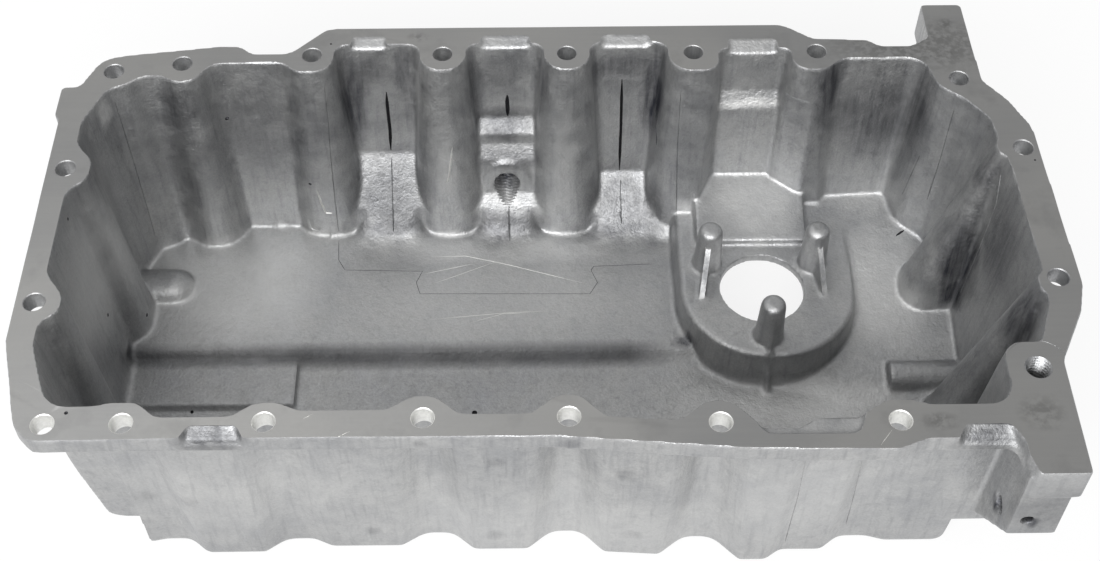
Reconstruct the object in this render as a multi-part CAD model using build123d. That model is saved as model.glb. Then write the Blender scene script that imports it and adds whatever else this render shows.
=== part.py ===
# Engine oil pan: one aluminium die casting, millimetres, flange face up (+Z).
# Plan positions are read from the flange bolt in the middle of the rear row
# (x to the right, y to the rear); heights are depths under the flange face.
# The finished pan is set on its underside with the origin under its middle.
from build123d import *
import math
import os

# driving dimensions
FLANGE_T = 9.0
DEPTH = 120.0
WALL = 4.0
FLOOR_T = 5.0
DRAFT = math.tan(math.radians(4.0))
BOLT_HOLE = 9.0
MIN_R = 1.5
CONE = 0.6
GROW_MAX = 4.9
FOOT_R = 7.0
EDGE_R = 6.0
MIDDLE = (-10.5, -100.8)

# floor levels, as depths under the flange face
Z_FRONT = -(DEPTH - FLOOR_T)
Z_LEFT = -108.5
Z_PLATEAU = -93.5
Z_SHELF_FRONT = -89.8
Z_SHELF_REAR = -80.5
Z_RIGHT_REAR = -90.0
TERRACE_H = 3.0

# flange bolts
REAR_BOLTS = [(-210.6, -9.9), (-179.5, -5.1), (-119.6, 0.0), (-58.4, 0.0),
              (0.0, 0.0), (59.6, 0.0), (117.6, 0.0)]
RIGHT_BOLTS = [(181.6, -18.8), (202.8, -63.0), (202.8, -137.4)]
FRONT_BOLTS = [(126.0, -208.0), (55.7, -208.0), (-3.5, -204.6), (-60.7, -204.6),
               (-122.6, -205.8), (-177.9, -205.8), (-208.4, -205.8)]
LEFT_BOLTS = [(-222.6, -145.4), (-222.6, -70.8)]
DOWEL = (185.3, -183.2)
T3, T4, T5, T6, T7 = REAR_BOLTS[2:]
B6, B5, B4, B3, B2, B1 = FRONT_BOLTS[:6]
DOWEL_HOLE = 10.2
DOWEL_BOSS_R = 10.9
DOWEL_DEPTH = 30.0

# threaded port, rising outwards through the wall of the middle rear pocket
PORT = (-29.4, -7.3, -81.0)
PORT_RISE = 36.0
PORT_BOSS_R = 12.2
PORT_BORE = 12.4
PORT_SEAT = 22.0
PORT_FACE_Y = -8.8

# level sensor hole with three tapped bosses
SENSOR = (95.3, -67.6)
SENSOR_HOLE = 41.0
SENSOR_PCD = 60.0
SENSOR_TAP = 5.0
BOSS_R = 5.8
BOSS_TOP = -66.0
RIB_T = 2.4

# raised sensor plateau, its front a half circle
RING_X = 98.0
RING_R = 43.5
RING_FRONT = -109.5

# step from the rear left floor down to the front channel, and the terrace
STEP_Y = -89.0
STEP_FOOT_Y = -102.0
TERRACE_X = -131.5
TERRACE_FRONT = -121.0

# shelf between the plateau and the rear wall
SHELF_LEFT = 65.0
SHELF_RIGHT = 120.0

# right ears and the bracket block under the front one
EAR_T = 18.0
BLOCK_X = (173.0, 193.0)
BLOCK_FRONT = -232.0
BLOCK_Z = -47.5
BLOCK_TAP = (179.5, -37.5)
BLOCK_TAP_D = 5.4
BLOCK_CROSS = (-217.8, -48.0)
BLOCK_CROSS_D = 8.2

# small features of the flange edge
GUSSET_T = 2.6
GUSSET_DROP = 22.0
LEDGE_Z = -2.2
NOTCH_DEPTH = 4.5


# Closed outline with rounded corners, shifted inwards by inset.
# Corners run clockwise seen from above, each as (x, y, radius).
def outline(corners, inset, z):
    n = len(corners)
    dirs = []
    for i in range(n):
        ax, ay = corners[i][0], corners[i][1]
        bx, by = corners[(i + 1) % n][0], corners[(i + 1) % n][1]
        length = math.hypot(bx - ax, by - ay)
        dirs.append(((bx - ax) / length, (by - ay) / length))
    starts = []
    ends = []
    mids = []
    for i in range(n):
        x, y, r = corners[i]
        ux, uy = dirs[i - 1]
        vx, vy = dirs[i]
        turn = math.atan2(ux * vy - uy * vx, ux * vx + uy * vy)
        half = turn / 2
        nx, ny = uy + vy, -(ux + vx)
        norm = math.hypot(nx, ny)
        nx, ny = nx / norm, ny / norm
        shift = inset / math.cos(half)
        px, py = x + nx * shift, y + ny * shift
        growth = min(inset * CONE, GROW_MAX) if inset > 0 else inset
        radius = max(r + growth if turn > 0 else r - inset, MIN_R)
        reach = radius * abs(math.tan(half))
        starts.append((px - ux * reach, py - uy * reach))
        ends.append((px + vx * reach, py + vy * reach))
        side = -1 if turn > 0 else 1
        away = radius * (1 / math.cos(half) - 1)
        mids.append((px + nx * side * away, py + ny * side * away))
    edges = []
    for i in range(n):
        edges.append(ThreePointArc(starts[i], mids[i], ends[i]))
        edges.append(Line(ends[i], starts[(i + 1) % n]))
    face = make_face(Wire(edges))
    return Pos(0, 0, z) * face


# Drafted solid through (depth, extra inset) sections of the same outline.
def drafted(corners, sections):
    faces = [outline(corners, extra - z * DRAFT, z) for z, extra in sections]
    return loft(faces, ruled=True)


# Sections that round the foot of a drafted solid off with a radius.
def rounded_foot(z, radius, extra=0.0):
    knee = 0.29 * radius
    return [(z + radius, extra), (z + knee, extra + knee), (z, extra + radius)]


# Half-round pillar corners round a rear bolt.
def pillar(bolt, radius):
    x, y = bolt
    return [(x - radius, y - radius, radius - 0.3), (x + radius, y - radius, radius - 0.3)]


# Low bump corners round a front bolt, right to left.
def bump(bolt, reach, base, nose, y_right, y_left):
    x, y = bolt
    top = y + reach
    return [(x + base, y_right, 7.0), (x + nose, top, 9.0),
            (x - nose, top, 9.0), (x - base, y_left, 7.0)]


# mouth of the inside, clockwise from the left wall
mouth = [(-220.0, -42.0, 16.0), (-212.0, -22.0, 9.0), (-203.0, -18.0, 9.0),
         (-193.8, -10.0, 12.5), (-176.0, -21.0, 10.0),
         (-166.0, -5.1, 10.0), (-133.0, -5.0, 8.0), (-126.5, -11.4, 9.0),
         (-109.3, -11.4, 10.0), (-109.3, 6.8, 6.0), (-69.4, 6.8, 6.0)]
mouth += pillar(T4, 11.0)
mouth += [(-47.4, 6.9, 6.0), (-11.0, 6.9, 6.0)]
mouth += pillar(T5, 11.0)
mouth += [(11.0, 7.1, 6.0), (47.6, 7.1, 6.0)]
mouth += [(47.6, -12.2, 11.0), (71.6, -12.2, 8.0), (71.6, 2.4, 4.0), (105.6, 2.4, 4.0)]
mouth += [(105.6, -12.1, 8.0), (122.0, -12.1, 11.0), (129.0, -5.0, 8.0),
          (167.0, -4.9, 10.0), (171.0, -23.0, 10.0), (182.0, -32.0, 20.0),
          (191.5, -45.0, 12.0), (192.3, -58.0, 20.0), (195.2, -74.0, 20.0),
          (196.8, -135.0, 40.0), (195.5, -152.0, 14.0), (189.0, -170.2, 2.0),
          (172.3, -170.2, 9.0), (172.3, -200.4, 10.0)]
mouth += bump(B6, 10.0, 13.5, 5.0, -200.4, -204.6)
mouth += [(94.0, -204.6, 5.0), (87.0, -209.6, 5.0)]
mouth += bump(B5, 10.4, 16.0, 4.5, -209.6, -206.5)
mouth += bump(B4, 10.7, 15.0, 4.5, -204.6, -202.8)
mouth += bump(B3, 10.5, 14.5, 4.5, -202.7, -200.4)
mouth += bump(B2, 9.4, 13.5, 4.5, -200.4, -202.9)
mouth += bump(B1, 10.2, 13.0, 4.5, -202.9, -197.4)
mouth += [(-208.5, -197.4, 12.0), (-218.7, -168.0, 16.0), (-218.9, -156.0, 8.0),
          (-211.5, -150.0, 6.0), (-211.5, -142.0, 9.0), (-220.2, -130.0, 10.0),
          (-220.0, -84.0, 10.0), (-211.6, -77.0, 8.0), (-211.6, -66.0, 8.0),
          (-220.0, -56.0, 10.0)]

# rim of the flange, clockwise from the left end
rim = [(-231.1, -41.0, 4.0), (-233.3, -37.5, 2.0), (-233.2, -20.0, 2.0),
       (-225.0, -19.8, 4.0), (-217.0, -1.5, 12.0), (-205.0, 1.0, 20.0),
       (-163.0, 6.4, 8.0), (-153.5, 6.0, 6.0), (-147.5, 1.1, 6.0),
       (-130.0, 1.1, 10.0), (-113.5, 18.0, 8.0), (103.5, 18.6, 12.0),
       (117.0, 8.6, 10.0), (142.7, 7.8, 6.0), (147.6, 3.6, 5.0),
       (163.0, 3.6, 5.0), (171.2, 8.8, 2.0), (171.4, 31.9, 2.0),
       (191.0, 31.7, 2.0), (192.2, -20.2, 6.0), (201.6, -32.8, 20.0),
       (209.5, -50.0, 20.0), (212.4, -141.0, 14.0), (208.6, -155.2, 14.0),
       (196.2, -179.6, 6.0), (196.3, -233.5, 1.6), (175.6, -233.5, 1.6),
       (170.6, -216.8, 4.0), (136.0, -216.6, 6.0), (124.0, -221.4, 8.0), (68.0, -220.4, 20.0),
       (-8.0, -213.8, 20.0), (-155.0, -213.2, 20.0), (-213.0, -213.9, 8.0),
       (-220.0, -206.0, 10.0), (-230.6, -166.0, 12.0)]


# Solid standing in the cavity, drafted outwards to its foot.
def raised(corners, z_top, z_foot):
    top = outline(corners, (z_top - z_foot) * DRAFT, z_top)
    foot = outline(corners, 0.0, z_foot)
    return loft([top, foot], ruled=True)


# Prism along x from a closed (y, z) profile.
def along_x(points, x_from, x_to):
    wire = Polyline(*[(x_from, y, z) for y, z in points], close=True)
    return extrude(make_face(wire), amount=x_to - x_from, dir=(1, 0, 0))


# inside of the pan before the raised floors are taken away from it
above_left = drafted(mouth, [(0.0, 0.0)] + rounded_foot(Z_LEFT, FOOT_R))
cavity = drafted(mouth, [(0.0, 0.0), (Z_LEFT + FOOT_R, 0.0)] + rounded_foot(Z_FRONT, FOOT_R))
shell = drafted(mouth, [(1.0 - FLANGE_T, -WALL)] + rounded_foot(-DEPTH, EDGE_R, -WALL))
plate = extrude(outline(rim, 0.0, 0.0), amount=-FLANGE_T)

# rear left floor with its soft step down to the front channel
drop = Z_LEFT - Z_FRONT
left_floor = along_x([(30, Z_LEFT), (STEP_Y, Z_LEFT), (STEP_Y - 3.0, Z_LEFT - 0.12 * drop),
                      (STEP_Y - 6.5, Z_LEFT - 0.65 * drop), (STEP_Y - 9.5, Z_LEFT - 0.9 * drop),
                      (STEP_FOOT_Y, Z_FRONT - 0.15), (STEP_FOOT_Y, Z_FRONT - 1),
                      (30, Z_FRONT - 1)], -245, 98)

# low terrace at the left end of the front channel
terrace = along_x([(STEP_Y, Z_FRONT + TERRACE_H), (TERRACE_FRONT, Z_FRONT + TERRACE_H),
                   (TERRACE_FRONT - 2.5, Z_FRONT - 1), (STEP_Y, Z_FRONT - 1)], -245, TERRACE_X)

# sensor plateau, round at its front, with rounded rim and foot
ring = [(RING_X - RING_R, 20.0, 2.0), (RING_X + RING_R, 20.0, 2.0),
        (RING_X + RING_R, RING_FRONT, RING_R - 2.0), (RING_X - RING_R, RING_FRONT, RING_R - 2.0)]
ring_sections = [(Z_PLATEAU, 2.6), (Z_PLATEAU - 0.8, 1.2), (Z_PLATEAU - 2.6, 0.5),
                 (Z_FRONT + 4.5, -0.8), (Z_FRONT + 1.3, -1.9), (Z_FRONT - 1, -4.8)]
plateau = loft([outline(ring, inset, z) for z, inset in ring_sections], ruled=True)

# sloping shelf between the plateau and the rear wall
shelf = along_x([(20, Z_SHELF_REAR + 5.0), (-3.5, Z_SHELF_REAR), (-40.3, Z_SHELF_FRONT),
                 (-40.8, Z_PLATEAU - 1), (20, Z_PLATEAU - 1)], SHELF_LEFT, SHELF_RIGHT)


# Height of the sloping right floor at a plan position.
def right_z(x, y):
    return Z_RIGHT_REAR + 0.055 * (x - 126.0) + 0.23 * (y + 11.0)


# Cross-section of the block under the right floor at one x.
def right_section(x, y_front, drop):
    points = [(30, right_z(x, 30) - drop), (y_front, right_z(x, y_front) - drop),
              (y_front, -DEPTH - 15), (30, -DEPTH - 15)]
    return make_face(Polyline(*[(x, y, z) for y, z in points], close=True))


right_floor = loft([right_section(RING_X, -145, 0), right_section(245, -145, 0)], ruled=True)

# ramps at the foot of the rear pockets, running out softly into the floor
RAMP_FOOT = [(-16.5, 10.1), (-20.5, 4.3), (-23.5, 1.3), (-27.0, -0.3)]
ramps = []
for x_from, x_to, ramp_top, foot in ((T3[0], T4[0], -68.0, RAMP_FOOT),
                                     (T4[0], T5[0], -71.5, RAMP_FOOT),
                                     (T5[0], T6[0], -83.0, RAMP_FOOT[1:])):
    profile = [(12, -22), (5.2, -22), (1.4, ramp_top)]
    profile += [(y, Z_LEFT + height) for y, height in foot]
    profile += [(foot[-1][0], Z_LEFT - 1), (12, Z_LEFT - 1)]
    ramps.append(along_x(profile, x_from, x_to))

# bay over the shelf with steep sides, and the facet of its rear wall
bay_plan = [(66.0, -26.0, 2.0), (66.0, -18.5, 2.0), (73.2, -5.0, 3.0), (73.2, 1.0, 2.0),
            (103.6, 1.0, 2.0), (103.6, -5.5, 4.0), (117.0, -14.3, 4.0), (128.5, -14.3, 2.0),
            (128.5, -26.0, 2.0)]
bay = loft([outline(bay_plan, 0.0, -20.0), outline(bay_plan, 0.5, -96.0)], ruled=True)
bay_wall = loft([outline(bay_plan, -WALL, 1.0 - FLANGE_T), outline(bay_plan, 1.0 - WALL, -DEPTH)],
                ruled=True)
facet = along_x([(12, -26), (0.6, -26), (-3.2, -36), (-4.0, Z_SHELF_REAR), (12, Z_SHELF_REAR)],
                T6[0], T7[0])

# threaded port with its half-round boss, under two steps in the middle pocket
port_steps = along_x([(12, -42), (6.0, -42), (-2.2, -52.7), (-2.8, -58), (-7.3, -66.5),
                      (-7.6, -86), (12, -86)], T4[0], T5[0])
port_axis = Pos(*PORT) * Rot(90 + PORT_RISE, 0, 0)
TO_TOP = (Align.CENTER, Align.CENTER, Align.MAX)
TO_FOOT = (Align.CENTER, Align.CENTER, Align.MIN)
port_front = along_x([(12, -40), (PORT_FACE_Y, -40), (PORT_FACE_Y, -102), (12, -102)], T4[0], T5[0])
port_boss = (port_axis * Cylinder(PORT_BOSS_R, 60)) & port_front
port_seat = port_axis * Cylinder(PORT_BOSS_R, PORT_SEAT, align=TO_TOP)
port_bore = port_axis * Cylinder(PORT_BORE / 2, 60)

# sensor screw bosses with their ribs
boss_spots = [(SENSOR[0] + SENSOR_PCD / 2 * math.cos(math.radians(a)),
               SENSOR[1] + SENSOR_PCD / 2 * math.sin(math.radians(a))) for a in (150, 30, 270)]
bosses = []
for x, y in boss_spots:
    height = BOSS_TOP - Z_PLATEAU
    stem = Pos(x, y, Z_PLATEAU - 1) * Cone(BOSS_R + 1.3, BOSS_R, height + 1, align=TO_FOOT)
    rounded = fillet(stem.edges().sort_by(Axis.Z)[-1], 3.6)
    bosses.append(rounded)
rib_feet = [(65.0, -75.5), (125.6, -74.5)]
ribs = []
for (x, y), (fx, fy) in zip(boss_spots, rib_feet):
    length = math.hypot(fx - x, fy - y)
    angle = math.degrees(math.atan2(fy - y, fx - x))
    side = make_face(Polyline((0, 0, Z_PLATEAU - 1), (0, 0, BOSS_TOP - 7),
                              (BOSS_R, 0, BOSS_TOP - 8), (length - 2, 0, Z_PLATEAU + 2),
                              (length, 0, Z_PLATEAU - 1), close=True))
    blade = extrude(side, amount=RIB_T / 2, dir=(0, 1, 0), both=True)
    ribs.append(Pos(x, y, 0) * Rot(0, 0, angle) * blade)
bx, by = boss_spots[2]
front_rib = make_face(Polyline((bx, by, Z_PLATEAU - 1), (bx, by, BOSS_TOP - 7),
                               (bx, by - BOSS_R, BOSS_TOP - 8), (bx, -107.5, Z_PLATEAU + 1),
                               (bx, -115.5, Z_FRONT + 1.5), (bx, -116.5, Z_FRONT - 1),
                               (bx, by, Z_FRONT - 1), close=True))
ribs.append(extrude(front_rib, amount=RIB_T / 2, dir=(1, 0, 0), both=True))

# half-round clearance bumps standing on the floors
LEFT_BUMP = (-196.3, -52.4, 10.5)
RIGHT_BUMP = (154.0, -109.0, 7.8)
x, y, r = LEFT_BUMP
left_bump = Pos(x, y, Z_LEFT - 2) * Rot(0, -90, 0) * Cylinder(r, 30, align=TO_FOOT)
left_bump += Pos(x, y, Z_LEFT - 2) * Sphere(r)
x, y, r = RIGHT_BUMP
right_bump = Pos(x, y, right_z(x, y) - 1.5) * Rot(0, 90, 0) * Cylinder(r, 45, align=TO_FOOT)


# Buttress leaning out from the right wall, growing to its foot.
def buttress(top, foot, z_top, z_foot):
    return loft([outline(top, 0.0, z_top), outline(foot, 0.0, z_foot)], ruled=True)


fin_rear_top = [(191.0, -56.5, 5.0), (230.0, -56.5, 2.0), (230.0, -68.0, 2.0), (191.0, -68.0, 5.0)]
fin_rear_foot = [(159.5, -48.0, 12.0), (230.0, -48.0, 2.0), (230.0, -77.0, 2.0), (159.5, -77.0, 13.0)]
fin_front_top = [(194.0, -134.0, 4.0), (230.0, -134.0, 2.0), (230.0, -146.0, 2.0), (194.0, -146.0, 4.0)]
fin_front_foot = [(166.5, -118.0, 12.0), (230.0, -118.0, 2.0), (230.0, -150.0, 2.0), (166.5, -150.0, 12.0)]
corner_top = [(-260.0, -197.5, 2.0), (-186.0, -197.5, 4.0), (-186.0, -260.0, 2.0), (-260.0, -260.0, 2.0)]
corner_foot = [(-260.0, -172.5, 2.0), (-186.0, -172.5, 12.0), (-186.0, -260.0, 2.0), (-260.0, -260.0, 2.0)]
flutes = [(fin_rear_top, fin_rear_foot), (fin_front_top, fin_front_foot), (corner_top, corner_foot)]
buttresses = [buttress(top, foot, 0.0, Z_FRONT - 1) for top, foot in flutes]


# Outer hollow of a buttress, one wall thickness behind its inner face.
def hollow(top, foot):
    inner_top = outline(top, WALL, -FLANGE_T)
    inner_foot = outline(foot, WALL, -DEPTH - 2)
    return loft([inner_top, inner_foot], ruled=True)


core = above_left + (cavity - left_floor) + bay
for solid in [terrace, plateau, shelf, right_floor, facet, port_steps, port_boss,
              left_bump, right_bump] + buttresses + ramps + bosses + ribs:
    core = core - solid

# thick right ears, and the bracket block with its web under the front one
front_ear = [(172.6, -202.0, 2.0), (196.2, -202.0, 2.0), (196.3, -233.5, 1.6), (175.6, -233.5, 1.6)]
rear_ear = [(171.4, 31.9, 2.0), (191.0, 31.7, 2.0), (191.6, 6.0, 2.0), (171.2, 6.0, 2.0)]
ears = [extrude(outline(ear, 0.0, 0.0), amount=-EAR_T) for ear in (front_ear, rear_ear)]
block = along_x([(-196, -5), (BLOCK_FRONT, -5), (BLOCK_FRONT, BLOCK_Z), (-196, -89)], *BLOCK_X)
web = along_x([(-196, -5), (-204, -5), (-199, -93), (-195, -93)], 160.0, BLOCK_X[1])
dowel_boss = Pos(DOWEL[0], DOWEL[1], -27.0) * Cylinder(DOWEL_BOSS_R, 50)

pan = plate + shell + bay_wall + block + web + dowel_boss + port_seat
for ear in ears:
    pan += ear
for top, foot in flutes:
    pan -= hollow(top, foot)
pan -= core

# tapered gussets between the front wall and the underside of the flange
for x, y_edge, y_wall in ((-131.0, -213.2, -203.5), (-94.0, -213.4, -203.4), (-48.0, -213.5, -205.0),
                          (-25.0, -213.8, -206.0), (20.0, -216.2, -208.0), (44.0, -218.4, -209.0),
                          (86.0, -220.7, -213.0)):
    side = make_face(Polyline((x, y_wall + 4, 1 - FLANGE_T), (x, y_edge + 1.2, 1 - FLANGE_T),
                              (x, y_edge + 1.2, -FLANGE_T - 1.5), (x, y_wall, -GUSSET_DROP),
                              (x, y_wall + 4, -GUSSET_DROP), close=True))
    pan += extrude(side, amount=GUSSET_T / 2, dir=(1, 0, 0), both=True)

# underside: recesses keep the wall even under the raised floors
under_left = along_x([(40, Z_LEFT - FLOOR_T), (STEP_Y + WALL, Z_LEFT - FLOOR_T),
                      (STEP_FOOT_Y + WALL, -DEPTH - 5), (40, -DEPTH - 5)], -245, RING_X - RING_R + 3)
ring_in = [(RING_X - RING_R + WALL, 30.0, 2.0), (RING_X + RING_R - WALL, 30.0, 2.0),
           (RING_X + RING_R - WALL, RING_FRONT + WALL, RING_R - 6.0),
           (RING_X - RING_R + WALL, RING_FRONT + WALL, RING_R - 6.0)]
under_ring = raised(ring_in, Z_PLATEAU - FLOOR_T, -DEPTH - 1)
under_right = loft([right_section(RING_X + RING_R - WALL - 2, -135, FLOOR_T),
                    right_section(245, -135, FLOOR_T)], ruled=True)
under_terrace = along_x([(STEP_Y, Z_FRONT + TERRACE_H - FLOOR_T),
                         (TERRACE_FRONT + WALL, Z_FRONT + TERRACE_H - FLOOR_T),
                         (TERRACE_FRONT + WALL, -DEPTH - 5), (STEP_Y, -DEPTH - 5)],
                        -245, TERRACE_X - WALL)
pan = pan - under_terrace - under_left - under_ring - under_right

# holes
for x, y in REAR_BOLTS + RIGHT_BOLTS + FRONT_BOLTS + LEFT_BOLTS:
    pan -= Pos(x, y, -FLANGE_T / 2) * Cylinder(BOLT_HOLE / 2, FLANGE_T + 20)
pan -= Pos(SENSOR[0], SENSOR[1], Z_PLATEAU) * Cylinder(SENSOR_HOLE / 2, 40)
pan -= port_bore
for x, y in boss_spots:
    pan -= Pos(x, y, BOSS_TOP - 6.0) * Cylinder(SENSOR_TAP / 2, 60, align=TO_TOP)
pan -= Pos(DOWEL[0], DOWEL[1], 0) * Cylinder(DOWEL_HOLE / 2, DOWEL_DEPTH * 2)
pan -= Pos(BLOCK_TAP[0], BLOCK_FRONT, BLOCK_TAP[1]) * Rot(90, 0, 0) * Cylinder(BLOCK_TAP_D / 2, 28)
pan -= Pos(sum(BLOCK_X) / 2, *BLOCK_CROSS) * Rot(0, 90, 0) * Cylinder(BLOCK_CROSS_D / 2, 30)

# low ledge inside the front edge between the two right-hand front bolts
ledge = [(68.5, -204.0, 2.0), (113.5, -202.5, 2.0), (109.5, -213.6, 6.0), (72.5, -213.6, 6.0)]
pan -= extrude(outline(ledge, 0.0, LEDGE_Z), amount=5.0)

# shallow sloping notches in the rear and front edges of the flange
for x_from, x_to, y_in in ((-101.5, -85.5, 5.5), (-40.5, -17.5, 5.5), (16.5, 39.5, 5.5),
                           (76.5, 99.5, 2.0)):
    pan -= along_x([(y_in + 7.2, 1), (y_in + 7.2, 0), (y_in - 2, -NOTCH_DEPTH), (y_in - 2, 1)],
                   x_from, x_to)
for x_mid, half, y_in in ((-142.5, 9.0, -207.0), (160.0, 8.5, -209.8)):
    dip = along_x([(y_in, 1), (y_in, 0), (y_in - 5.0, -3.5), (y_in - 5.0, -5.5),
                   (y_in - 15, -6.2), (y_in - 15, 1)], x_mid - 20, x_mid + 20)
    flare = half + 4.5
    plan = make_face(Polyline((x_mid - half, y_in), (x_mid + half, y_in), (x_mid + flare, y_in - 9),
                              (x_mid + flare, y_in - 15), (x_mid - flare, y_in - 15),
                              (x_mid - flare, y_in - 9), close=True))
    pan -= dip & extrude(Pos(0, 0, -8) * plan, amount=10)

# origin under the middle of the pan, on its underside
pan = Pos(-MIDDLE[0], -MIDDLE[1], DEPTH) * pan
os.makedirs("parts", exist_ok=True)
export_step(pan, "parts/oil_pan.step")
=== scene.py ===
from contextlib import contextmanager
import math

import bmesh
import bpy
from mathutils import Matrix, Vector, noise
from mathutils.bvhtree import BVHTree


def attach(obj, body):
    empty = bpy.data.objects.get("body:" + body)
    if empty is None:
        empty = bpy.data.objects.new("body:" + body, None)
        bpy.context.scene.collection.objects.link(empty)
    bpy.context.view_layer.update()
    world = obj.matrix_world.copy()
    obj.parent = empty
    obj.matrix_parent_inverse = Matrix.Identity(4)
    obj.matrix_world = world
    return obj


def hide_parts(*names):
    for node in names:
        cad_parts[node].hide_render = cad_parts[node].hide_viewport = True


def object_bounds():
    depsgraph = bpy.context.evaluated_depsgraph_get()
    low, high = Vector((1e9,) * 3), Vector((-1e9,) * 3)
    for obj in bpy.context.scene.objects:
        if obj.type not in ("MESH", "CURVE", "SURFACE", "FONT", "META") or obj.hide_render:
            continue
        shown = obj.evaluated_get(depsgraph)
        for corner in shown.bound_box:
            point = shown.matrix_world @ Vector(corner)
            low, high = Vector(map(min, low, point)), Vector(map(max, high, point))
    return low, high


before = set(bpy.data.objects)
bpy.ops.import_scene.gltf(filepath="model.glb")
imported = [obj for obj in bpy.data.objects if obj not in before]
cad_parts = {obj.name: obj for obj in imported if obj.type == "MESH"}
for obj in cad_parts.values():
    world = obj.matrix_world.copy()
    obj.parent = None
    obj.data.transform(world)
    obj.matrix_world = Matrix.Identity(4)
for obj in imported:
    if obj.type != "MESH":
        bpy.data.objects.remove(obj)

cad_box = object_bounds()

# The pan's plan is read from the middle rear flange bolt, in millimetres,
# with heights as depths under the flange face.
MM = 0.001
BOLT_ORIGIN = (10.5, 100.8, 120.0)
FLANGE_Z = 120.0 * MM
FLANGE_T = 9.0
UP = Vector((0, 0, 1))
LEVEL = 0.999

REAR_BOLTS = [(-210.6, -9.9), (-179.5, -5.1), (-119.6, 0.0), (-58.4, 0.0),
              (0.0, 0.0), (59.6, 0.0), (117.6, 0.0)]
RIGHT_BOLTS = [(181.6, -18.8), (202.8, -63.0), (202.8, -137.4)]
FRONT_BOLTS = [(126.0, -208.0), (55.7, -208.0), (-3.5, -204.6), (-60.7, -204.6),
               (-122.6, -205.8), (-177.9, -205.8), (-208.4, -205.8)]
LEFT_BOLTS = [(-222.6, -145.4), (-222.6, -70.8)]
BOLTS = REAR_BOLTS + RIGHT_BOLTS + FRONT_BOLTS + LEFT_BOLTS
BOLT_HOLE_R = 4.5
CORNER_THREAD = (185.3, -183.2)
PORT = (-29.4, -7.3, -81.0)
PORT_RISE = math.radians(36.0)
SENSOR = (95.3, -67.6, -93.5)
SENSOR_R = 20.5

# camera, solved from the flange bolts and the upright walls
CAM_PLACE = (-0.00766, -0.45446, 0.64434)
CAM_RIGHT = (0.999881, -0.014981, 0.003693)
CAM_UP = (0.009403, 0.781421, 0.623933)
CAM_BACK = (-0.012233, -0.623824, 0.781469)
CAM_FOCAL_PX = 1609.7
CAM_SENSOR_W = 36.0
CAM_CLIP = (0.01, 100.0)
PHOTO_W, PHOTO_H = 1100, 561


def place(x, y, z=0.0):
    """Position in metres from plan millimetres."""
    ox, oy, oz = BOLT_ORIGIN
    return Vector(((x + ox) * MM, (y + oy) * MM, (z + oz) * MM))


def eased(value, span):
    """Smooth step from nought to one over a span of values."""
    start, stop = span
    t = min(1.0, max(0.0, (value - start) / (stop - start)))
    return t * t * (3 - 2 * t)


def link(name, data):
    obj = bpy.data.objects.new(name, data)
    bpy.context.scene.collection.objects.link(obj)
    return obj


def mesh_from(name, verts, faces):
    mesh = bpy.data.meshes.new(name)
    mesh.from_pydata(verts, [], faces)
    mesh.update()
    return mesh


@contextmanager
def editing(mesh):
    """A mesh opened for editing, written back at the end."""
    bm = bmesh.new()
    bm.from_mesh(mesh)
    yield bm
    bm.to_mesh(mesh)
    bm.free()


def modify(obj, name, kind, **settings):
    modifier = obj.modifiers.new(name, kind)
    for key, value in settings.items():
        setattr(modifier, key, value)


def baked(obj):
    """Replaces an object's mesh with the result of its modifiers."""
    graph = bpy.context.evaluated_depsgraph_get()
    mesh = bpy.data.meshes.new_from_object(obj.evaluated_get(graph))
    old = obj.data
    obj.modifiers.clear()
    obj.data = mesh
    bpy.data.meshes.remove(old)


# closed shells, used to cut and to add
ROUND_STEPS = 40
RINGS_PER_TURN = 6
GROOVE_FLARE = 1.6


def tube(centre, axis, rings):
    """Closed shell round an axis from rings of (distance along it, radii) in millimetres."""
    turn = UP.rotation_difference(axis).to_matrix()
    steps = len(rings[0][1])
    verts, faces = [], []
    for along, radii in rings:
        for i, radius in enumerate(radii):
            a = 2 * math.pi * i / steps
            spot = Vector((radius * math.cos(a), radius * math.sin(a), along)) * MM
            verts.append(centre + turn @ spot)
    last = (len(rings) - 1) * steps
    for low in range(0, last, steps):
        high = low + steps
        for i in range(steps):
            j = (i + 1) % steps
            faces.append((low + i, low + j, high + j, high + i))
    faces.append(tuple(reversed(range(steps))))
    faces.append(tuple(range(last, last + steps)))
    return verts, faces


def turned(profile, centre, axis, steps=ROUND_STEPS):
    """Closed solid of revolution from (distance along axis, radius) pairs in millimetres."""
    return tube(centre, axis, [(along, [radius] * steps) for along, radius in profile])


def threaded(centre, axis, length, minor, depth, pitch, start=0.0):
    """Closed solid with a helical V thread, in millimetres."""
    rings = []
    for k in range(int(length / pitch * RINGS_PER_TURN) + 1):
        along = k * pitch / RINGS_PER_TURN
        phases = [(along / pitch - i / ROUND_STEPS) % 1.0 for i in range(ROUND_STEPS)]
        rings.append((start + along, [minor + depth * (1 - abs(2 * phase - 1)) for phase in phases]))
    return tube(centre, axis, rings)


def strip(points, normals, widths, above, below):
    """Closed V-shaped sliver along points, for grooves and beads; millimetre sizes."""
    verts, faces = [], []
    n = len(points)
    for k in range(n):
        ahead = points[min(k + 1, n - 1)] - points[max(k - 1, 0)]
        side = ahead.cross(normals[k]).normalized() * (widths[k] / 2 * MM)
        top = points[k] + normals[k] * (above * MM)
        verts += [top - side * GROOVE_FLARE, top + side * GROOVE_FLARE,
                  points[k] - normals[k] * (below * MM)]
    for k in range(n - 1):
        a, b = 3 * k, 3 * (k + 1)
        faces += [(a, a + 1, b + 1, b), (a + 1, a + 2, b + 2, b + 1), (a + 2, a, b, b + 2)]
    faces += [(0, 2, 1), (3 * n - 3, 3 * n - 2, 3 * n - 1)]
    return verts, faces


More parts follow.
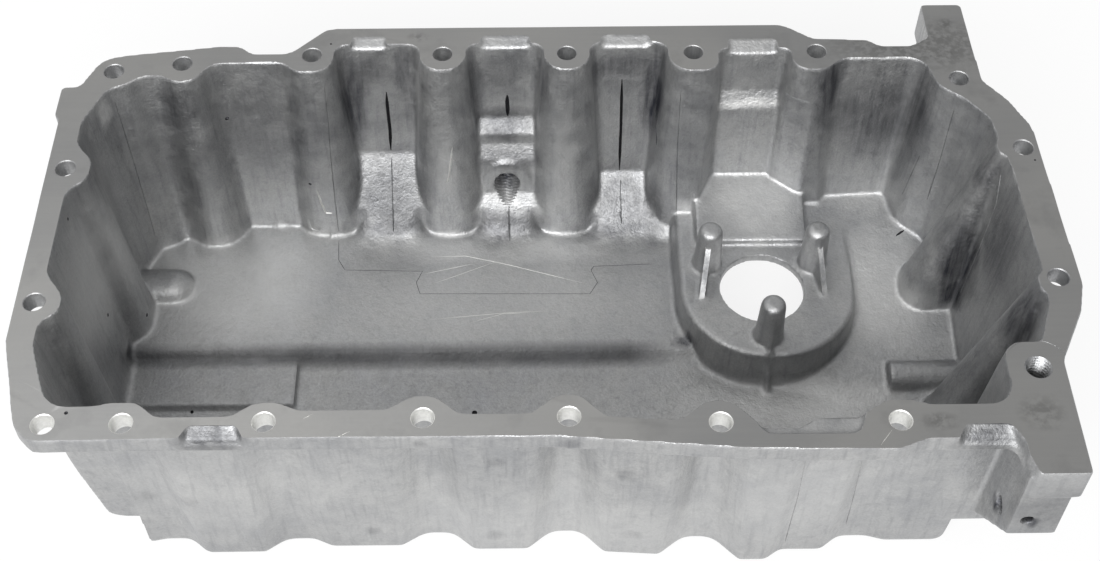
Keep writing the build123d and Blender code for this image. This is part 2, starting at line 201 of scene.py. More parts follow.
def solid(name, parts):
    """One object from several closed shells, with outward normals."""
    verts, faces = [], []
    for part_verts, part_faces in parts:
        base = len(verts)
        verts += part_verts
        faces += [tuple(i + base for i in face) for face in part_faces]
    mesh = mesh_from(name, verts, faces)
    with editing(mesh) as bm:
        bmesh.ops.recalc_face_normals(bm, faces=bm.faces)
    return link(name, mesh)


# material slots of the pan
FINISHES = ("cast_aluminium", "milled_aluminium", "dark_groove", "bright_scar")
CAST, MILLED, DARKENED, BRIGHT = range(4)


def combine(obj, parts, operation, slot=CAST):
    """Boolean of an object with closed shells that don't meet each other."""
    tool = solid("tool", parts)
    for material in obj.data.materials:
        tool.data.materials.append(material)
    for polygon in tool.data.polygons:
        polygon.material_index = slot
    modify(obj, "cut", "BOOLEAN", operation=operation, solver="MANIFOLD", material_mode="INDEX", object=tool)
    baked(obj)
    mesh = tool.data
    bpy.data.objects.remove(tool)
    bpy.data.meshes.remove(mesh)


# The cast body is the solid's mesh. Its top is raised a little, so that the
# softened edge is cut off flat at the milled flange face.
TOP_RAISE = 0.45 * MM
TOP_REACH = 1e-5
WELD = 1e-6
pan = link("pan_casting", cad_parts["oil_pan"].data.copy())
pan.data.materials.clear()
for finish in FINISHES:
    pan.data.materials.append(bpy.data.materials.new(finish))
with editing(pan.data) as bm:
    bmesh.ops.remove_doubles(bm, verts=bm.verts, dist=WELD)
    top = [f for f in bm.faces
           if f.normal.z > LEVEL and abs(f.calc_center_median().z - FLANGE_Z) < TOP_REACH]
    raised = bmesh.ops.extrude_face_region(bm, geom=top)
    moved = [v for v in raised["geom"] if isinstance(v, bmesh.types.BMVert)]
    bmesh.ops.translate(bm, verts=moved, vec=(0, 0, TOP_RAISE))
    bmesh.ops.delete(bm, geom=[f for f in top if f.is_valid], context="FACES")

# bolt holes are filled before softening and drilled clean afterwards
PLUG_R = BOLT_HOLE_R + 0.3
PLUG_BOTTOM, PLUG_TOP = -FLANGE_T + 0.2, TOP_RAISE / MM - 0.1
plugs = solid("plugs", [turned([(PLUG_BOTTOM, PLUG_R), (PLUG_TOP, PLUG_R)], place(x, y), UP)
                        for x, y in BOLTS])
with editing(pan.data) as bm:
    bm.from_mesh(plugs.data)
bpy.data.objects.remove(plugs)

VOXEL = 1.1 * MM
modify(pan, "remesh", "REMESH", mode="VOXEL", voxel_size=VOXEL, use_smooth_shade=True)
baked(pan)

# The feet of the three round pillars between the ramps: the ramp runs out
# beside each pillar, whose front goes down to the floor in a rounded lip.
FOOT_X = (-119.6, -58.4, 0.0)
FOOT_Y = 7.0
FOOT_FLOOR = -108.5
FOOT_HEIGHT = 14.0
FOOT_RADIUS = 26.0
FOOT_DRAFT = 0.07
FOOT_SKIN = 0.5
LIP = 4.0
RAMP_X, RAMP_Y, RAMP_Z = (-150, 46), (-48, -6), (-112, -60)
PRESS_AHEAD, PRESS_AWAY, PRESS_ASIDE = (13.0, 17.0), (30.0, 36.0), (10.0, 20.0)
BLEND_Z, BLEND_NEAR, BLEND_FAR, BLEND_AWAY = (-92.0, -80.0), (8.0, 14.0), (38.0, 46.0), (29.0, 33.0)
ramp_feet = pan.vertex_groups.new(name="ramp_feet")
for v in pan.data.vertices:
    x, y, z = (v.co[i] / MM - BOLT_ORIGIN[i] for i in range(3))
    if not (RAMP_X[0] < x < RAMP_X[1] and RAMP_Y[0] < y < RAMP_Y[1] and RAMP_Z[0] < z < RAMP_Z[1]):
        continue
    away = min(math.hypot(x - fx, y - FOOT_Y) for fx in FOOT_X)
    height = z - FOOT_FLOOR
    wall = FOOT_RADIUS - FOOT_DRAFT * height + FOOT_SKIN
    if 0.0 < height < FOOT_HEIGHT and away > wall:
        aside = min(max(0.0, x - fx) if fx == FOOT_X[0] else abs(x - fx) for fx in FOOT_X)
        press = eased(-y, PRESS_AHEAD) * (1 - eased(away, PRESS_AWAY)) * (1 - eased(aside, PRESS_ASIDE))
        inside = LIP - min(LIP, away - wall)
        lip = LIP - math.sqrt(LIP * LIP - inside * inside)
        v.co.z -= max(0.0, height - lip) * press * MM
    run_out = (1 - eased(z, BLEND_Z)) * eased(-y, BLEND_NEAR) * (1 - eased(-y, BLEND_FAR))
    ramp_feet.add([v.index], eased(away, BLEND_AWAY) * run_out, "REPLACE")

# softened cast edges, with fewer triangles
modify(pan, "blend_feet", "SMOOTH", factor=0.5, iterations=160, vertex_group="ramp_feet")
modify(pan, "soften", "SMOOTH", factor=0.5, iterations=5)
modify(pan, "thin", "DECIMATE", ratio=0.155)
baked(pan)

# gentle waviness of the casting, a little more on the edge of the flange
WAVE = 0.10 * MM
BROAD_RATE, FINE_RATE, FINE_SHARE = 70.0, 260.0, 0.35
EDGE_RATES, EDGE_SHARE, EDGE_UPRIGHT = (160, 160, 500), 1.2, 0.5
with editing(pan.data) as bm:
    bm.normal_update()
    for v in bm.verts:
        swell = noise.noise(v.co * BROAD_RATE) * WAVE + noise.noise(v.co * FINE_RATE) * WAVE * FINE_SHARE
        if v.co.z > FLANGE_Z - FLANGE_T * MM and abs(v.normal.z) < EDGE_UPRIGHT:
            spot = Vector([c * rate for c, rate in zip(v.co, EDGE_RATES)])
            swell += noise.noise(spot) * WAVE * EDGE_SHARE
        v.co += v.normal * swell

# milled flange face
SLAB_X, SLAB_Y, SLAB_Z = (-260.0, 240.0), (-260.0, 60.0), (0.0, 20.0)
(x0, x1), (y0, y1) = SLAB_X, SLAB_Y
slab = [place(x, y, z) for z in SLAB_Z for x, y in ((x0, y0), (x1, y0), (x1, y1), (x0, y1))]
slab_faces = [(0, 3, 2, 1), (4, 5, 6, 7), (0, 1, 5, 4), (1, 2, 6, 5), (2, 3, 7, 6), (3, 0, 4, 7)]
combine(pan, [(slab, slab_faces)], "DIFFERENCE")

# drilled and threaded holes, the front bolt holes with bright walls
BOLT_CHAMFER = 0.35
BOLT_DRILL = -FLANGE_T - 11
SENSOR_PROFILE = [(-10.0, SENSOR_R), (-0.5, SENSOR_R), (0.1, SENSOR_R + 0.5), (3.0, SENSOR_R + 0.5)]
SENSOR_STEPS = 96
CORNER_BOTTOM = -30.0
CORNER_FACE = [(-0.25, 13.5), (1.0, 13.5)]
CORNER_FACE_STEPS = 64


def bolt_hole(x, y):
    return turned([(BOLT_DRILL, BOLT_HOLE_R), (-BOLT_CHAMFER, BOLT_HOLE_R),
                   (0.0, BOLT_HOLE_R + BOLT_CHAMFER), (2.0, BOLT_HOLE_R + BOLT_CHAMFER)], place(x, y), UP)


combine(pan, [bolt_hole(x, y) for x, y in FRONT_BOLTS], "DIFFERENCE", BRIGHT)
port_axis = Vector((0, math.cos(PORT_RISE), math.sin(PORT_RISE)))
drills = [bolt_hole(x, y) for x, y in BOLTS if (x, y) not in FRONT_BOLTS]
drills += [turned(SENSOR_PROFILE, place(*SENSOR), UP, SENSOR_STEPS),
           threaded(place(*CORNER_THREAD, CORNER_BOTTOM), UP, length=31.5, minor=5.1, depth=0.85, pitch=1.75),
           threaded(place(*PORT), port_axis, length=60.0, minor=6.1, depth=0.85, pitch=1.5, start=-12.5)]
combine(pan, drills, "DIFFERENCE")
combine(pan, [turned(CORNER_FACE, place(*CORNER_THREAD), UP, CORNER_FACE_STEPS)], "DIFFERENCE")

# crisp ribs from the two rear sensor bosses down to the plateau
BOSS_TOP = -66.0
BOSS_R = 5.8
PLATEAU_Z = -93.5
RIB_T = 2.5
RIBS = [((69.32, -52.6), (65.0, -75.5)), ((121.28, -52.6), (125.6, -74.5))]
RIB_ROOT, RIB_SINK, RIB_TOE, RIB_TOE_RISE = 3.0, 1.0, 2.0, 2.1
RIB_TOP_IN, RIB_TOP_OUT = BOSS_TOP - 7.6, BOSS_TOP - 7.9


def blade(x, y, heading, profile):
    """Closed flat rib from (distance, height) pairs along a heading."""
    cos, sin = math.cos(heading), math.sin(heading)
    half, n = RIB_T / 2, len(profile)
    verts = [place(x + cos * s - sin * side, y + sin * s + cos * side, z)
             for side in (-half, half) for s, z in profile]
    faces = [tuple(range(n)), tuple(range(2 * n - 1, n - 1, -1))]
    faces += [(k, n + k, n + (k + 1) % n, (k + 1) % n) for k in range(n)]
    return verts, faces


rib_parts = []
for (x, y), (end_x, end_y) in RIBS:
    reach = math.hypot(end_x - x, end_y - y)
    profile = [(RIB_ROOT, PLATEAU_Z - RIB_SINK), (RIB_ROOT, RIB_TOP_IN), (BOSS_R, RIB_TOP_OUT),
               (reach - RIB_TOE, PLATEAU_Z + RIB_TOE_RISE), (reach, PLATEAU_Z - RIB_SINK)]
    rib_parts.append(blade(x, y, math.atan2(end_y - y, end_x - x), profile))
combine(pan, rib_parts, "UNION")

# Lines and pores of the casting. Each is drawn through positions in the
# photograph, which the solved camera carries onto the surface.
LINE_GAP_PX = 3.0
LINE_TIP = 0.25
PORE_STEPS = 14
surface = BVHTree.FromPolygons([v.co.copy() for v in pan.data.vertices],
                               [tuple(f.vertices) for f in pan.data.polygons])
EYE, TO_RIGHT, TO_UP, TO_BACK = (Vector(row) for row in (CAM_PLACE, CAM_RIGHT, CAM_UP, CAM_BACK))


def on_surface(px, py):
    """Point and normal of the pan seen at one position in the photograph."""
    ray = TO_RIGHT * (px - PHOTO_W / 2) - TO_UP * (py - PHOTO_H / 2) - TO_BACK * CAM_FOCAL_PX
    return surface.ray_cast(EYE, ray.normalized())[:2]


def resampled(corners):
    """A drawn line with positions a few pixels apart."""
    spots = [corners[0]]
    for (ax, ay), (bx, by) in zip(corners, corners[1:]):
        pieces = max(1, round(math.hypot(bx - ax, by - ay) / LINE_GAP_PX))
        spots += [(ax + (bx - ax) * k / pieces, ay + (by - ay) * k / pieces) for k in range(1, pieces + 1)]
    return spots


def traced(corners, width, above, below, raise_up=False, ends=0.25):
    """Groove or bead along a drawn line, fading at both ends."""
    spots = [hit for hit in (on_surface(*spot) for spot in resampled(corners)) if hit[0]]
    n = len(spots)
    fade = max(1.0, n * ends)
    widths = [width * min(1.0, LINE_TIP + min(k, n - 1 - k) / fade) for k in range(n)]
    side = -1 if raise_up else 1
    return strip([hit[0] for hit in spots], [hit[1] * side for hit in spots], widths, above, below)


def pore(spot, radius):
    point, normal = on_surface(*spot)
    profile = [(-1.2 * radius, 0.35 * radius), (-0.6 * radius, radius), (0.6, radius)]
    return turned(profile, point, normal, PORE_STEPS)


# slits and pores, with their widths and radii in millimetres
SLITS = [([(386.3, 92), (386.8, 100), (388, 112), (390, 130), (391, 150)], 1.5),
         ([(507, 95), (507.3, 104), (508, 116)], 1.9),
         ([(622, 79), (621.5, 100), (621, 125), (620, 150), (619.5, 170)], 1.3),
         ([(656, 126), (656.3, 136), (656.5, 145)], 1.2)]
PORES = [((227, 118.5), 1.0), ((310, 184), 0.8), ((68, 219), 0.8), ((108, 315), 0.9),
         ((147, 315), 0.9), ((66, 413), 0.8), ((192, 412), 0.8), ((474.6, 412.8), 1.3),
         ((331, 44), 0.5), ((1035, 160), 0.5)]
combine(pan, [traced(line, width, 0.5, 1.1) for line, width in SLITS]
        + [pore(spot, radius) for spot, radius in PORES], "DIFFERENCE", DARKENED)

# parting lines of the mould and the outline of its insert
RAMP_LINES = [[(391.5, 158), (392.5, 190), (393.5, 232)], [(509, 206), (510, 241)],
              [(620.5, 180), (621, 200), (621.8, 224)]]
SEAMS = [[(324, 85), (328, 120), (331, 160), (335, 200), (339, 235)],
         [(681, 90), (677.5, 145), (676, 225)],
         [(954, 110), (940, 160), (927, 200)], [(920, 155), (902, 195)],
         [(115, 102), (130, 150), (145, 200), (156, 238)],
         [(806, 460), (797, 500), (785, 542)], [(862, 461), (854, 495), (846, 524)]]
INSERT = [(338.8, 240), (338.8, 260), (345, 270), (422.5, 271.3), (416.3, 282.5), (420, 293.8),
          (590, 293.8), (597.5, 282.5), (591, 270), (593.8, 266.3), (654, 263.8)]
combine(pan, [traced(line, 1.5, 0.4, 0.35) for line in RAMP_LINES]
        + [traced(line, 0.55, 0.4, 0.35, ends=0.1) for line in SEAMS], "DIFFERENCE")
combine(pan, [traced(INSERT, 0.45, 0.4, 0.2, ends=0.02)], "DIFFERENCE", DARKENED)

# raised scars, scratches in groups that don't cross, a sharp ridge and a tick
SCARS = [([(317, 190), (321, 202), (326, 213), (332, 213)], 1.1),
         ([(452.5, 147), (450.5, 165), (448.8, 178), (446, 184)], 1.1)]
SCRATCHES = [[[(432, 257), (465, 256), (505, 264), (587, 284)],
              [(430, 319.5), (470, 316), (510, 312.5), (547, 311)],
              [(303, 419), (312, 414)], [(338, 437), (350, 431)]],
             [[(424, 274), (472, 264)], [(471, 322.5), (502, 314), (530, 312.5)], [(892, 430), (881, 445)]],
             [[(430, 285), (478, 268), (495, 262)]]]
RIDGE = [(1001, 174), (996, 205), (980, 247), (959, 296)]
TICK = [(896, 236), (904, 230)]
combine(pan, [traced(line, width, 0.3, 0.45, raise_up=True) for line, width in SCARS], "UNION", BRIGHT)
for group in SCRATCHES:
    combine(pan, [traced(line, 0.5, 0.4, 0.2) for line in group], "DIFFERENCE", BRIGHT)
combine(pan, [traced(RIDGE, 0.9, 0.3, 0.3, raise_up=True, ends=0.1)], "UNION")
combine(pan, [traced(TICK, 1.2, 0.4, 0.5)], "DIFFERENCE", DARKENED)


# materials
class Nodes:
    """Short calls for building the node tree of a material or the world."""

    def __init__(self, owner, output="ShaderNodeOutputMaterial"):
        owner.use_nodes = True
        self.tree = owner.node_tree
        self.tree.nodes.clear()
        self.out = self.tree.nodes.new(output)

    def feed(self, socket, value):
        if isinstance(value, bpy.types.NodeSocket):
            self.tree.links.new(value, socket)
        else:
            socket.default_value = value

    def add(self, kind, **inputs):
        node = self.tree.nodes.new(kind)
        for key, value in inputs.items():
            if key in node.inputs:
                self.feed(node.inputs[key], value)
            else:
                setattr(node, key, value)
        return node

    def operate(self, kind, operation, values):
        node = self.add(kind, operation=operation)
        for socket, value in zip(node.inputs, values):
            self.feed(socket, value)
        return node.outputs

    def math(self, operation, *values):
        return self.operate("ShaderNodeMath", operation, values)[0]

    def vector(self, operation, *values):
        return self.operate("ShaderNodeVectorMath", operation, values)

    def coords(self):
        return self.add("ShaderNodeTexCoord").outputs["Object"]

    def split(self, vector):
        return self.add("ShaderNodeSeparateXYZ", Vector=vector).outputs

    def scaled(self, vector, scale, shift=(0.0, 0.0, 0.0)):
        return self.add("ShaderNodeMapping", Vector=vector, Location=shift, Scale=scale).outputs[0]

    def noise(self, vector, scale, detail=3.0, rough=0.5, output=0):
        node = self.add("ShaderNodeTexNoise", Vector=vector, Scale=scale, Detail=detail, Roughness=rough)
        return node.outputs[output]

    def ramp(self, value, low, high, to_low=0.0, to_high=1.0):
        limits = {"From Min": low, "From Max": high, "To Min": to_low, "To Max": to_high}
        return self.add("ShaderNodeMapRange", Value=value, **limits).outputs[0]

    def mix(self, factor, a, b):
        node = self.add("ShaderNodeMix", data_type="RGBA")
        for index, value in ((0, factor), (6, a), (7, b)):
            self.feed(node.inputs[index], value)
        return node.outputs[2]

    def bump(self, height, strength, distance, **under):
        node = self.add("ShaderNodeBump", Height=height, Strength=strength, Distance=distance, **under)
        return node.outputs[0]

    def finish(self, shader):
        self.feed(self.out.inputs["Surface"], shader.outputs[0])

    def blend(self, factor, first, second):
        node = self.add("ShaderNodeMixShader")
        for socket, value in zip(node.inputs, (factor, first.outputs[0], second.outputs[0])):
            self.feed(socket, value)
        self.finish(node)

    def metal(self, tone, rough, normal):
        sockets = {"Base Color": tone, "Roughness": rough, "Metallic": 1.0, "Normal": normal}
        self.finish(self.add("ShaderNodeBsdfPrincipled", **sockets))


# Marks of the surface, real stains and painted light and shade: a position in the photograph,
# half sizes along the pan's three axes in millimetres, and a strength.
# stains, and painted shade in shaded places such as the flanks of pillars and fins and the top of the
# threaded port's bore
STAINS_AND_SHADE = [((655, 95), (8, 13, 36), 0.95), ((352, 100), (9, 15, 38), 0.75), ((407, 75), (7, 11, 26), 0.5),
          ((880, 112), (28, 14, 32), 0.55), ((919, 115), (9, 15, 36), 0.55), ((958, 260), (10, 12, 32), 0.95),
          ((953, 290), (9, 10, 14), 0.9), ((1018, 322), (13, 13, 26), 0.7), ((828, 90), (8, 13, 28), 0.75),
          ((178, 107), (11, 11, 20), 0.5), ((92, 165), (11, 15, 28), 0.45), ((684, 341), (6, 6, 6), 0.8),
          ((620, 66), (24, 10, 10), 0.5), ((372, 72), (20, 10, 9), 0.3), ((472, 90), (6, 13, 28), 0.45),
          ((541, 85), (6, 13, 26), 0.4), ((507, 177), (8, 6, 6), 0.95), ((999, 502), (4.5, 4.5, 5), 0.95),
          ((1027.5, 520), (4, 4.5, 4), 0.95), ((1000, 245), (12, 25, 32), 0.45),
          ((985, 175), (8, 12, 14), 0.5), ((950, 240), (8, 10, 20), 0.4), ((377, 531), (5, 5, 5), 0.35),
          ((496, 535), (5, 5, 5), 0.35), ((630, 536), (5, 5, 5), 0.35), ((142, 495), (6, 5, 6), 0.3),
          ((187, 502), (6, 5, 6), 0.3), ((422, 445), (5, 5, 4), 0.3), ((495, 462), (6, 5, 6), 0.3),
          ((570, 444), (6, 5, 4), 0.3), ((630, 475), (6, 5, 7), 0.3)]
# painted light: lighter patches and painted highlights where light falls on floors, walls, pillars and the
# outside front wall
PAINTED_LIGHT = [((104, 113), (7, 7, 9), 0.8), ((684, 205), (7, 7, 9), 0.5), ((500, 250), (100, 15, 6), 0.45),
        ((748, 103), (27, 4, 4), 0.8), ((230, 500), (95, 30, 55), 0.2), ((560, 510), (125, 30, 55), 0.28),
        ((790, 500), (65, 30, 55), 0.25), ((225, 290), (66, 48, 9), 0.65),
        ((480, 300), (110, 45, 9), 0.25), ((885, 290), (38, 62, 12), 0.45), ((800, 405), (66, 20, 8), 0.6),
        ((752, 205), (34, 28, 14), 0.4), ((95, 265), (24, 62, 42), 0.5), ((447, 165), (7, 12, 38), 0.35),
        ((565, 165), (7, 12, 38), 0.3)]
# painted shade: darker patches that tone down where light falls strongly, on ramps, notches, ribs, walls and
# the port's steps
PAINTED_SHADE = [((706, 272), (5, 13, 12), 0.7), ((822, 272), (5, 13, 12), 0.5), ((390, 195), (24, 28, 30), 0.75),
        ((507, 228), (26, 14, 12), 0.85), ((620, 205), (24, 28, 30), 0.75), ((507, 124), (22, 12, 12), 0.9),
        ((507, 157), (22, 12, 12), 0.7), ((650, 215), (13, 22, 24), 0.7), ((365, 70), (26, 10, 14), 0.35),
        ((620, 75), (22, 10, 14), 0.25), ((400, 110), (16, 12, 20), 0.2), ((390, 228), (28, 10, 10), 0.85),
        ((620, 228), (30, 10, 10), 0.85), ((250, 130), (70, 30, 50), 0.33),
        ((860, 110), (65, 30, 45), 0.2), ((212, 435), (18, 8, 8), 0.97), ((988, 435), (18, 9, 9), 0.97),
        ((500, 75), (20, 9, 13), 0.45), ((1010, 270), (22, 62, 32), 0.3), ((1050, 510), (27, 10, 27), 0.5)]
RUBBED = [((945, 24), (6, 5, 5), 0.55), ((948, 53), (5, 4, 5), 0.55), ((1042, 413), (11, 10, 8), 0.4),
          ((940, 421), (9, 5, 5), 0.45), ((418, 37), (6, 4, 4), 0.4), ((920, 45), (55, 22, 20), 0.45)]
MARK_EDGE, MARK_CORE = 1.0, 0.35
WOBBLE = 6 * MM
END_X = 200 * MM

# painted shade: a dark band on the soft step of the rear floor, with its fading distances
STEP = (390, 355)
STEP_ACROSS, STEP_ABOVE, STEP_END = (7 * MM, 2 * MM), (9 * MM, 6 * MM), (62 * MM, 40 * MM)
STEP_STRENGTH = 0.72

# colours, linear
CAST_TONES = (0.38, 0.385, 0.395, 1), (0.47, 0.472, 0.472, 1)
CLOUD_TONE = (0.56, 0.56, 0.55, 1)
MOTTLE_TONE = (0.27, 0.275, 0.285, 1)
STREAK_TONE = (0.22, 0.225, 0.24, 1)
GRAIN_TONE = (0.2, 0.2, 0.2, 1)
# painted shade on the soft step of the rear floor
STEP_SHADE_TONE = (0.08, 0.082, 0.088, 1)
# stains with painted shade
STAIN_AND_SHADE_TONE = (0.035, 0.037, 0.05, 1)
# painted light
PAINTED_LIGHT_TONE = (0.78, 0.78, 0.77, 1)
# painted shade
PAINTED_SHADE_TONE = (0.13, 0.132, 0.138, 1)
MILLED_TONES = (0.36, 0.36, 0.358, 1), (0.415, 0.412, 0.402, 1)
ARC_TONE = (0.44, 0.44, 0.43, 1)
PATCH_TONE = (0.25, 0.25, 0.25, 1)
RUBBED_TONE = (0.12, 0.12, 0.115, 1)
GROOVE_TONES = (0.03, 0.03, 0.032, 1), (0.10, 0.10, 0.11, 1)
SCAR_TONES = (0.70, 0.70, 0.68, 1), (0.92, 0.92, 0.90, 1)
PAPER = (0.88, 0.88, 0.88, 1)
WHITE = (1, 1, 1, 1)


def blotches(n, coords, marks):
    """Mask that rises to the strength of each mark inside its soft ellipsoid."""
    total = 0.0
    for pixel, half_sizes, strength in marks:
        centre = on_surface(*pixel)[0]
        scale = [1 / (half * MM) for half in half_sizes]
        reach = n.scaled(coords, scale, [-c * k for c, k in zip(centre, scale)])
        away = n.vector("LENGTH", reach)["Value"]
        total = n.math("MAXIMUM", total, n.ramp(away, MARK_EDGE, MARK_CORE, 0.0, strength))
    return total


def marked(n, tone, coords, facing, streak, mottle):
    """Cast tone with its stains and its painted light and shade, kept off what faces the rear, down or out at
    the ends.
    """
    wander = n.noise(coords, 60.0, 4.0, output="Color")
    shift = n.vector("MULTIPLY_ADD", wander, (2 * WOBBLE,) * 3, (-WOBBLE,) * 3)[0]
    bent = n.vector("ADD", coords, shift)[0]
    # painted shade along the soft step of the rear floor
    step = on_surface(*STEP)[0]
    spot = n.split(coords)
    across = n.math("ABSOLUTE", n.math("SUBTRACT", spot["Y"], step.y))
    above = n.math("ABSOLUTE", n.math("SUBTRACT", spot["Z"], step.z))
    step_shade = n.math("MULTIPLY", n.ramp(across, *STEP_ACROSS, 0.0, STEP_STRENGTH), n.ramp(above, *STEP_ABOVE))
    step_shade = n.math("MULTIPLY", step_shade, n.ramp(spot["X"], *STEP_END))
    tone = n.mix(step_shade, tone, STEP_SHADE_TONE)
    inner = n.math("MULTIPLY", n.ramp(facing["Y"], 0.45, 0.1), n.ramp(facing["Z"], -0.6, -0.2))
    far = n.math("POWER", n.math("MULTIPLY", n.math("ABSOLUTE", spot["X"]), 1 / END_X), 4.0)
    outward = n.math("MULTIPLY", far, n.math("MULTIPLY", n.math("SIGN", spot["X"]), facing["X"]))
    inner = n.math("MULTIPLY", inner, n.ramp(outward, 0.7, 0.35))
    # stains, with painted shade on shaded flanks and in the port's bore
    stain_and_shade = n.math("MULTIPLY", blotches(n, bent, STAINS_AND_SHADE), inner)
    stain_and_shade = n.math("MULTIPLY", stain_and_shade, n.ramp(streak, 0.35, 0.6, 0.55, 1.0))
    tone = n.mix(stain_and_shade, tone, STAIN_AND_SHADE_TONE)
    # painted light
    tone = n.mix(n.math("MULTIPLY", blotches(n, bent, PAINTED_LIGHT), inner), tone, PAINTED_LIGHT_TONE)
    # painted shade
    painted_shade_mask = n.math("MULTIPLY", blotches(n, bent, PAINTED_SHADE), inner)
    painted_shade_mask = n.math("MULTIPLY", painted_shade_mask, n.ramp(mottle, 0.3, 0.6, 0.75, 1.0))
    return n.mix(painted_shade_mask, tone, PAINTED_SHADE_TONE)


def cast_aluminium(n):
    coords = n.coords()
    facing = n.split(n.add("ShaderNodeNewGeometry").outputs["Normal"])
    upright = n.ramp(n.math("ABSOLUTE", facing["Z"]), 0.6, 0.3)
    broad = n.noise(coords, 22.0, 4.0, 0.55)
    cloud = n.noise(coords, 90.0, 5.0, 0.62)
    mottle = n.noise(coords, 260.0, 4.0, 0.65)
    grain = n.noise(coords, 900.0, 3.0, 0.6)
    streak = n.noise(n.scaled(coords, (420.0, 420.0, 26.0)), 1.0, 4.0, 0.6)
    tone = n.mix(n.ramp(broad, 0.32, 0.68), *CAST_TONES)
    tone = n.mix(n.ramp(cloud, 0.38, 0.7, 0.0, 0.4), tone, CLOUD_TONE)
    tone = n.mix(n.ramp(mottle, 0.5, 0.72, 0.0, 0.35), tone, MOTTLE_TONE)
    dark_streak = n.ramp(streak, 0.5, 0.75, 0.0, 0.42)
    dark_streak = n.math("MULTIPLY", dark_streak, n.ramp(upright, 0.0, 1.0, 0.25, 1.0))
    tone = n.mix(dark_streak, tone, STREAK_TONE)
    tone = n.mix(n.ramp(grain, 0.35, 0.65, 0.0, 0.15), tone, GRAIN_TONE)
    # stains, painted light and painted shade
    tone = marked(n, tone, coords, facing, streak, mottle)
    rough = n.math("ADD", n.ramp(cloud, 0.3, 0.7, 0.44, 0.60), n.ramp(grain, 0.3, 0.7, -0.04, 0.06))
    normal = n.bump(grain, 0.3, 0.0006)
    normal = n.bump(mottle, 0.3, 0.0010, Normal=normal)
    normal = n.bump(cloud, 0.35, 0.0014, Normal=normal)
    normal = n.bump(streak, 0.18, 0.0006, Normal=normal)
    n.metal(tone, rough, normal)


def milled_aluminium(n):
    coords = n.coords()
    broad = n.noise(coords, 14.0, 3.0, 0.5)
    patch = n.noise(coords, 45.0, 4.0, 0.6)
    fine = n.noise(coords, 700.0, 2.0, 0.5)
    arcs = n.noise(n.scaled(coords, (30.0, 900.0, 30.0)), 1.0, 2.0, 0.5)
    tone = n.mix(n.ramp(broad, 0.35, 0.65), *MILLED_TONES)
    tone = n.mix(n.ramp(arcs, 0.4, 0.7, 0.0, 0.15), tone, ARC_TONE)
    tone = n.mix(n.ramp(patch, 0.56, 0.72, 0.0, 0.35), tone, PATCH_TONE)
    rub = n.math("MULTIPLY", blotches(n, coords, RUBBED), n.ramp(n.noise(coords, 380.0), 0.35, 0.6))
    tone = n.mix(rub, tone, RUBBED_TONE)
    n.metal(tone, n.ramp(fine, 0.3, 0.7, 0.30, 0.38), n.bump(arcs, 0.05, 0.0003))


# near-black finish of the cut slits, pores, insert line and tick
def dark_groove(n):
    coords = n.coords()
    tone = n.mix(n.noise(coords, 500.0), *GROOVE_TONES)
    fine = n.noise(coords, 900.0)
    n.metal(tone, n.ramp(fine, 0.3, 0.7, 0.5, 0.7), n.bump(fine, 0.2, 0.0005))


def bright_scar(n):
    coords = n.coords()
    tone = n.mix(n.noise(coords, 900.0), *SCAR_TONES)
    rough = n.ramp(n.noise(coords, 700.0), 0.3, 0.7, 0.45, 0.65)
    n.metal(tone, rough, n.bump(n.noise(coords, 1500.0), 0.3, 0.0004))


dressings = (cast_aluminium, milled_aluminium, dark_groove, bright_scar)
for material, dress in zip(pan.data.materials, dressings):
    dress(Nodes(material))

# the finished piece, held just inside the solid's box
MILLED_BAND = 0.4 * MM
SHARP = math.radians(40)
BOX_GAP = 2e-6
for polygon in pan.data.polygons:
    polygon.use_smooth = True
    on_top = polygon.normal.z > LEVEL and polygon.center.z > FLANGE_Z - MILLED_BAND
    if on_top and polygon.material_index == CAST:
        polygon.material_index = MILLED
pan.data.set_sharp_from_angle(angle=SHARP)
modify(pan, "weighted", "WEIGHTED_NORMAL", keep_sharp=True)
baked(pan)
for v in pan.data.vertices:
    v.co = [min(max(v.co[i], cad_box[0][i] + BOX_GAP), cad_box[1][i] - BOX_GAP) for i in range(3)]
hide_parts("oil_pan")
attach(pan, "root")

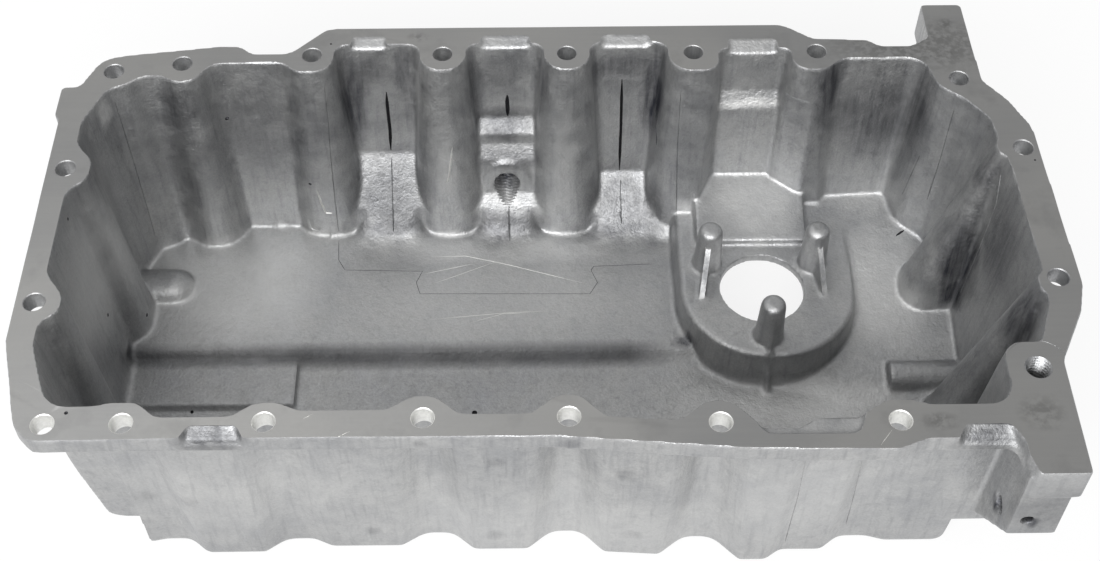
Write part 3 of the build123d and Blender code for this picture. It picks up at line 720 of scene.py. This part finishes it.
# pale floor
FLOOR_HALF = 6.0
FLOOR_GLOW = 0.85
floor_corners = [(x * FLOOR_HALF, y * FLOOR_HALF, 0) for x, y in ((-1, -1), (1, -1), (1, 1), (-1, 1))]
floor = link("floor", mesh_from("floor", floor_corners, [(0, 1, 2, 3)]))
floor.data.materials.append(bpy.data.materials.new("paper_floor"))
paper = Nodes(floor.data.materials[0])
rays = paper.add("ShaderNodeLightPath").outputs
seen = paper.math("MAXIMUM", rays["Is Glossy Ray"], rays["Is Transmission Ray"])
seen = paper.math("MAXIMUM", rays["Is Camera Ray"], seen)
matte = paper.add("ShaderNodeBsdfDiffuse", Color=PAPER)
glow = paper.add("ShaderNodeEmission", Color=WHITE, Strength=1.0)
paper.blend(paper.math("MULTIPLY", seen, FLOOR_GLOW), matte, glow)

# plain white surroundings
WORLD_LIGHT = 0.55
world = bpy.data.worlds.new("studio")
bpy.context.scene.world = world
studio = Nodes(world, "ShaderNodeOutputWorld")
rays = studio.add("ShaderNodeLightPath").outputs
soft = studio.add("ShaderNodeBackground", Color=WHITE, Strength=WORLD_LIGHT)
white = studio.add("ShaderNodeBackground", Color=WHITE, Strength=1.0)
studio.blend(studio.math("MAXIMUM", rays["Is Camera Ray"], rays["Is Transmission Ray"]), soft, white)

# soft lamps, each with its place, size and power
LAMP_AIM = Vector((0, 0, 0.05))
LAMPS = {"key": ((-0.45, -1.75, 1.35), (1.9, 0.8), 63.0),
         "top": ((-0.9, 0.3, 1.9), (1.0, 1.0), 3.0),
         "back": ((-0.55, 1.0, 1.8), (1.5, 0.5), 1.6)}
for name, (where, size, power) in LAMPS.items():
    light = bpy.data.lights.new(name, "AREA")
    light.shape = "RECTANGLE"
    light.size, light.size_y = size
    light.energy = power
    lamp = link(name, light)
    lamp.location = where
    lamp.rotation_mode = "QUATERNION"
    lamp.rotation_quaternion = (LAMP_AIM - Vector(where)).to_track_quat("-Z", "Y")

# camera at the photograph's angle
lens = bpy.data.cameras.new("camera")
lens.sensor_width = CAM_SENSOR_W
lens.sensor_fit = "HORIZONTAL"
lens.lens = CAM_FOCAL_PX / PHOTO_W * CAM_SENSOR_W
lens.clip_start, lens.clip_end = CAM_CLIP
camera = link("camera", lens)
turn = Matrix((CAM_RIGHT, CAM_UP, CAM_BACK)).transposed()
camera.matrix_world = Matrix.Translation(CAM_PLACE) @ turn.to_4x4()
bpy.context.scene.camera = camera
bpy.context.scene.view_settings.view_transform = "Standard"

bpy.context.view_layer.update()
